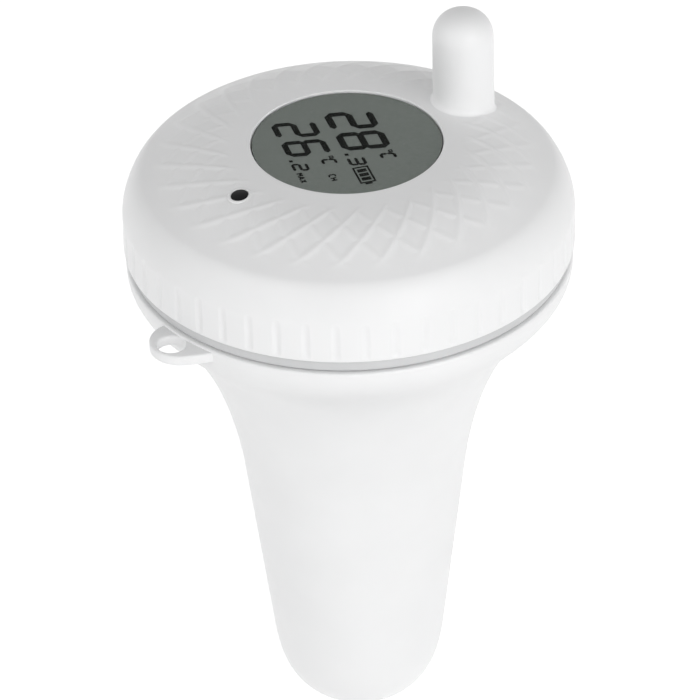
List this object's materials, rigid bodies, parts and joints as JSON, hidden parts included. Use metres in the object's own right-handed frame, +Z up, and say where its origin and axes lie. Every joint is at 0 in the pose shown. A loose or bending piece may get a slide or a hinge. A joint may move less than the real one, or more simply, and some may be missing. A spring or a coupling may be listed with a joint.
{
  "type": "floating pool thermometer",
  "caption": "Floating thermometer with a screw-on round display head, an antenna post, a grip rim, a lanyard ear and a weighted tapered stem.",
  "frame": {"origin": "on the axis of the float, in the plane of the water when it floats", "axes": "+Z up along the float's axis; the camera of the picture looks along +Y"},
  "size_m": [0.096, 0.096, 0.1631],
  "materials": {
    "white_plastic": "satin",
    "inner_plastic": "matte",
    "grey_rubber": "matte",
    "window": "clear gloss",
    "black_plastic": "gloss",
    "lcd": "satin",
    "green_board": "satin",
    "steel": "satin",
    "brass_contact": "satin",
    "cell_wrap": "satin",
    "lead": "satin"
  },
  "bodies": {
    "float": {"float_shell": "white_plastic", "ballast_weight": "steel", "ballast_keeper": "inner_plastic"},
    "gasket": {"rim_gasket": "grey_rubber"},
    "head": {"cap_shell": "white_plastic", "antenna_cover": "white_plastic", "antenna_rod": "steel", "light_pipe": "black_plastic", "window_lens": "window", "window_seal": "grey_rubber", "lcd_glass": "lcd", "lcd_backing": "inner_plastic", "lcd_frame": "inner_plastic", "contact_strip_upper": "grey_rubber", "contact_strip_lower": "grey_rubber", "circuit_board": "green_board", "microcontroller": "black_plastic", "radio_module": "steel", "light_sensor": "black_plastic", "unit_switch": "black_plastic", "test_switch": "black_plastic", "channel_switch": "steel", "board_screw_1": "steel", "board_screw_2": "steel", "board_screw_3": "steel", "chassis": "inner_plastic", "chassis_screw_1": "steel", "chassis_screw_2": "steel", "chassis_screw_3": "steel", "chassis_screw_4": "steel", "battery_left": "cell_wrap", "battery_spring_left": "steel", "contact_plate_left": "brass_contact", "battery_right": "cell_wrap", "battery_spring_right": "steel", "contact_plate_right": "brass_contact", "probe_stalk": "inner_plastic", "stalk_nut": "inner_plastic", "probe_tip": "steel", "probe_lead": "lead"},
    "unit_button": {"unit_button": "grey_rubber"},
    "test_button": {"test_button": "grey_rubber"},
    "channel_slider": {"channel_slider": "black_plastic"}
  },
  "joints": [
    {"name": "gasket_rise", "type": "slide", "parent": "float", "child": "gasket", "axis": [0, 0, 1], "range_m": [0, 0.008]},
    {"name": "head_turn", "type": "hinge", "parent": "gasket", "child": "head", "pos_m": [0, 0, 0], "axis": [0, 0, 1], "range_deg": [0, 720]},
    {"name": "unit_button_press", "type": "slide", "parent": "head", "child": "unit_button", "axis": [0, 0, 1], "range_m": [0, 0.0006], "stiffness_N_per_m": 300},
    {"name": "test_button_press", "type": "slide", "parent": "head", "child": "test_button", "axis": [0, 0, 1], "range_m": [0, 0.0006], "stiffness_N_per_m": 300},
    {"name": "channel_slide", "type": "slide", "parent": "head", "child": "channel_slider", "axis": [0.2756, -0.9613, 0], "range_m": [-0.002, 0.002]}
  ],
  "couplings": [
    {"joint": "gasket_rise", "follows": "head_turn", "m_per_rad": 0.00063662}
  ]
}
